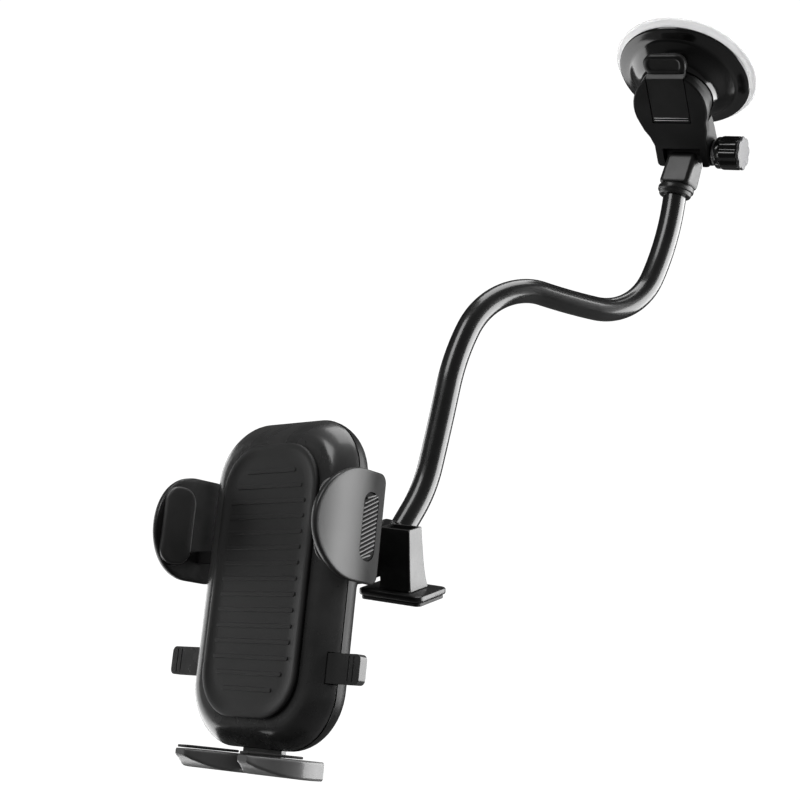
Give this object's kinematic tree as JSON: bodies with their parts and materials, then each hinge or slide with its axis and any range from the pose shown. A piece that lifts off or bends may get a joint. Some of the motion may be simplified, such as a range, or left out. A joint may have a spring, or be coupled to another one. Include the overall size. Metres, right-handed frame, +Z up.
{
  "type": "car phone mount",
  "caption": "Windscreen suction mount with a bendable neck, a dash foot, and a ball-jointed cradle whose linked side arms and sliding feet hold a phone.",
  "frame": {"origin": "centre of the suction cup's face on the windscreen", "axes": "+Z up, -Y towards the driver, +X to the right seen from the driver's seat; the cup's face is tilted as on a windscreen"},
  "size_m": [0.1338, 0.2035, 0.2682],
  "materials": {
    "clear_gel": "clear soft gel ring",
    "gloss_black_plastic": "polished moulding",
    "black_plastic": "satin moulding",
    "graphite_plastic": "smooth dark grey lacquer with a soft sheen",
    "satin_silver": "silver-grey satin",
    "black_rubber": "smooth rubber",
    "zinc_steel": "zinc plated",
    "natural_nylon": "natural nylon"
  },
  "bodies": {
    "head": {"suction_cup": "clear_gel", "suction_dome": "gloss_black_plastic", "dome_screw_1": "zinc_steel", "dome_screw_2": "zinc_steel", "bracket": "black_plastic", "clamp_nut": "zinc_steel", "rod_spring": "zinc_steel"},
    "draw_rod": {"draw_rod": "zinc_steel", "lever_pin": "zinc_steel"},
    "suction_lever": {"suction_lever": "black_plastic"},
    "clamp_washer": {"clamp_washer": "zinc_steel"},
    "clamp_knob": {"clamp_knob": "gloss_black_plastic", "knob_cap": "satin_silver", "clamp_bolt": "zinc_steel"},
    "neck_root": {"pivot_fitting": "black_plastic", "upper_collar": "black_plastic", "neck_sleeve_0": "black_rubber", "neck_core_0": "zinc_steel"},
    "neck_link_1": {"neck_sleeve_1": "black_rubber", "neck_core_1": "zinc_steel"},
    "neck_link_2": {"neck_sleeve_2": "black_rubber", "neck_core_2": "zinc_steel"},
    "neck_link_3": {"neck_sleeve_3": "black_rubber", "neck_core_3": "zinc_steel"},
    "neck_link_4": {"neck_sleeve_4": "black_rubber", "neck_core_4": "zinc_steel"},
    "neck_link_5": {"neck_sleeve_5": "black_rubber", "neck_core_5": "zinc_steel"},
    "neck_link_6": {"neck_sleeve_6": "black_rubber", "neck_core_6": "zinc_steel", "ball_stud": "black_plastic"},
    "foot_clip": {"foot_clip": "black_rubber"},
    "foot": {"foot_tower": "black_plastic", "foot_plate": "black_plastic", "foot_pad": "black_rubber"},
    "joint_ball": {"joint_ball": "black_plastic"},
    "ball_liner": {"ball_liner": "natural_nylon"},
    "cradle": {"front_cover": "graphite_plastic", "back_cover": "black_plastic", "cover_screw_1": "zinc_steel", "cover_screw_2": "zinc_steel", "cradle_pad": "black_rubber", "pinion_pin": "zinc_steel", "arm_spring": "zinc_steel", "latch_spring": "zinc_steel"},
    "ring_nut": {"ring_nut": "black_plastic"},
    "right_arm": {"right_arm": "graphite_plastic", "right_grip": "black_rubber", "right_arm_pad": "black_rubber"},
    "left_arm": {"left_arm": "graphite_plastic", "left_grip": "black_rubber", "left_arm_pad": "black_rubber"},
    "pinion": {"pinion": "natural_nylon"},
    "release_button_right": {"release_button_right": "graphite_plastic"},
    "release_button_left": {"release_button_left": "graphite_plastic"},
    "latch_pawl": {"latch_pawl": "natural_nylon"},
    "phone_rest": {"foot_slider": "graphite_plastic", "foot_right_pad": "black_rubber", "foot_left_pad": "black_rubber"}
  },
  "joints": [
    {"name": "draw_rod_slide", "type": "slide", "parent": "head", "child": "draw_rod", "axis": [0.035, 0.5052, 0.8623], "range_m": [0, 0.0012], "deforming": ["rod_spring"]},
    {"name": "suction_lever_hinge", "type": "hinge", "parent": "draw_rod", "child": "suction_lever", "pos_m": [-0.00062, -0.00901, -0.01532], "axis": [0.9656, 0.2054, -0.1596], "range_deg": [0, 65]},
    {"name": "clamp_washer_slide", "type": "slide", "parent": "head", "child": "clamp_washer", "axis": [0.9656, 0.2054, -0.1596], "range_m": [0, 0.00105]},
    {"name": "clamp_knob_turn", "type": "hinge", "parent": "clamp_washer", "child": "clamp_knob", "pos_m": [-0.00436, 0.00648, -0.02997], "axis": [0.9656, 0.2054, -0.1596], "range_deg": [0, 540]},
    {"name": "neck_pivot", "type": "hinge", "parent": "head", "child": "neck_root", "pos_m": [-0.00436, 0.00648, -0.02997], "axis": [0.9656, 0.2054, -0.1596], "range_deg": [-30, 60]},
    {"name": "neck_bend_1", "type": "hinge", "parent": "neck_root", "child": "neck_link_1", "pos_m": [-0.01039, -0.00167, -0.06656], "axis": [0.9304, -0.3665, 0], "range_deg": [-20, 20]},
    {"name": "neck_bend_2", "type": "hinge", "parent": "neck_link_1", "child": "neck_link_2", "pos_m": [-0.01648, -0.01714, -0.09063], "axis": [-0.1706, -0.4332, 0.885], "range_deg": [-20, 20]},
    {"name": "neck_bend_3", "type": "hinge", "parent": "neck_link_2", "child": "neck_link_3", "pos_m": [-0.02724, -0.04445, -0.09122], "axis": [0.9304, -0.3665, 0], "range_deg": [-20, 20]},
    {"name": "neck_bend_4", "type": "hinge", "parent": "neck_link_3", "child": "neck_link_4", "pos_m": [-0.03719, -0.06971, -0.0929], "axis": [-0.1788, -0.4539, 0.8729], "range_deg": [-20, 20]},
    {"name": "neck_bend_5", "type": "hinge", "parent": "neck_link_4", "child": "neck_link_5", "pos_m": [-0.0432, -0.08497, -0.11482], "axis": [0.9304, -0.3665, 0], "range_deg": [-20, 20]},
    {"name": "neck_bend_6", "type": "hinge", "parent": "neck_link_5", "child": "neck_link_6", "pos_m": [-0.04591, -0.09185, -0.1418], "axis": [-0.3551, -0.9014, 0.2479], "range_deg": [-20, 20]},
    {"name": "foot_clip_slide", "type": "slide", "parent": "neck_link_6", "child": "foot_clip", "axis": [0.1996, 0.5067, 0.8387], "range_m": [-0.002, 0.001]},
    {"name": "foot_turn", "type": "hinge", "parent": "foot_clip", "child": "foot", "pos_m": [-0.05089, -0.1045, -0.17481], "axis": [0.1996, 0.5067, 0.8387], "range_deg": [-4, 20]},
    {"name": "ball_spin", "type": "hinge", "parent": "neck_link_6", "child": "joint_ball", "pos_m": [-0.06241, -0.13375, -0.19012], "axis": [0.3651, 0.9269, 0.0872], "continuous": true},
    {"name": "cradle_yaw", "type": "hinge", "parent": "joint_ball", "child": "ball_liner", "pos_m": [-0.06241, -0.13375, -0.19012], "axis": [0, 0.1437, 0.9896], "range_deg": [-46, 4]},
    {"name": "cradle_pitch", "type": "hinge", "parent": "ball_liner", "child": "cradle", "pos_m": [-0.06241, -0.13375, -0.19012], "axis": [1, 0, 0], "range_deg": [-10, 36]},
    {"name": "ring_nut_turn", "type": "hinge", "parent": "cradle", "child": "ring_nut", "pos_m": [-0.06241, -0.13375, -0.19012], "axis": [0, 0.9896, -0.1437], "range_deg": [0, 270]},
    {"name": "right_arm_slide", "type": "slide", "parent": "cradle", "child": "right_arm", "axis": [1, 0, 0], "range_m": [-0.002, 0.0125], "deforming": ["arm_spring"]},
    {"name": "left_arm_slide", "type": "slide", "parent": "cradle", "child": "left_arm", "axis": [-1, 0, 0], "range_m": [-0.002, 0.0125]},
    {"name": "pinion_turn", "type": "hinge", "parent": "cradle", "child": "pinion", "pos_m": [-0.06241, -0.15169, -0.1766], "axis": [0, 0.9896, -0.1437], "range_deg": [-20, 120]},
    {"name": "right_button_press", "type": "slide", "parent": "cradle", "child": "release_button_right", "axis": [-1, 0, 0], "range_m": [0, 0.0025]},
    {"name": "left_button_press", "type": "slide", "parent": "cradle", "child": "release_button_left", "axis": [1, 0, 0], "range_m": [0, 0.0025]},
    {"name": "latch_pawl_slide", "type": "slide", "parent": "cradle", "child": "latch_pawl", "axis": [0, -0.1437, -0.9896], "range_m": [0, 0.0025], "deforming": ["latch_spring"]},
    {"name": "phone_rest_slide", "type": "slide", "parent": "cradle", "child": "phone_rest", "axis": [0, -0.1437, -0.9896], "range_m": [0, 0.018]}
  ],
  "couplings": [
    {"joint": "draw_rod_slide", "follows": "suction_lever_hinge", "m_per_rad": 0.00105},
    {"joint": "clamp_knob_turn", "follows": "clamp_washer_slide", "rad_per_m": 8975.9},
    {"joint": "left_arm_slide", "follows": "right_arm_slide", "ratio": 1},
    {"joint": "pinion_turn", "follows": "right_arm_slide", "rad_per_m": 166.67},
    {"joint": "left_button_press", "follows": "right_button_press", "ratio": 1},
    {"joint": "latch_pawl_slide", "follows": "right_button_press", "ratio": 1}
  ]
}
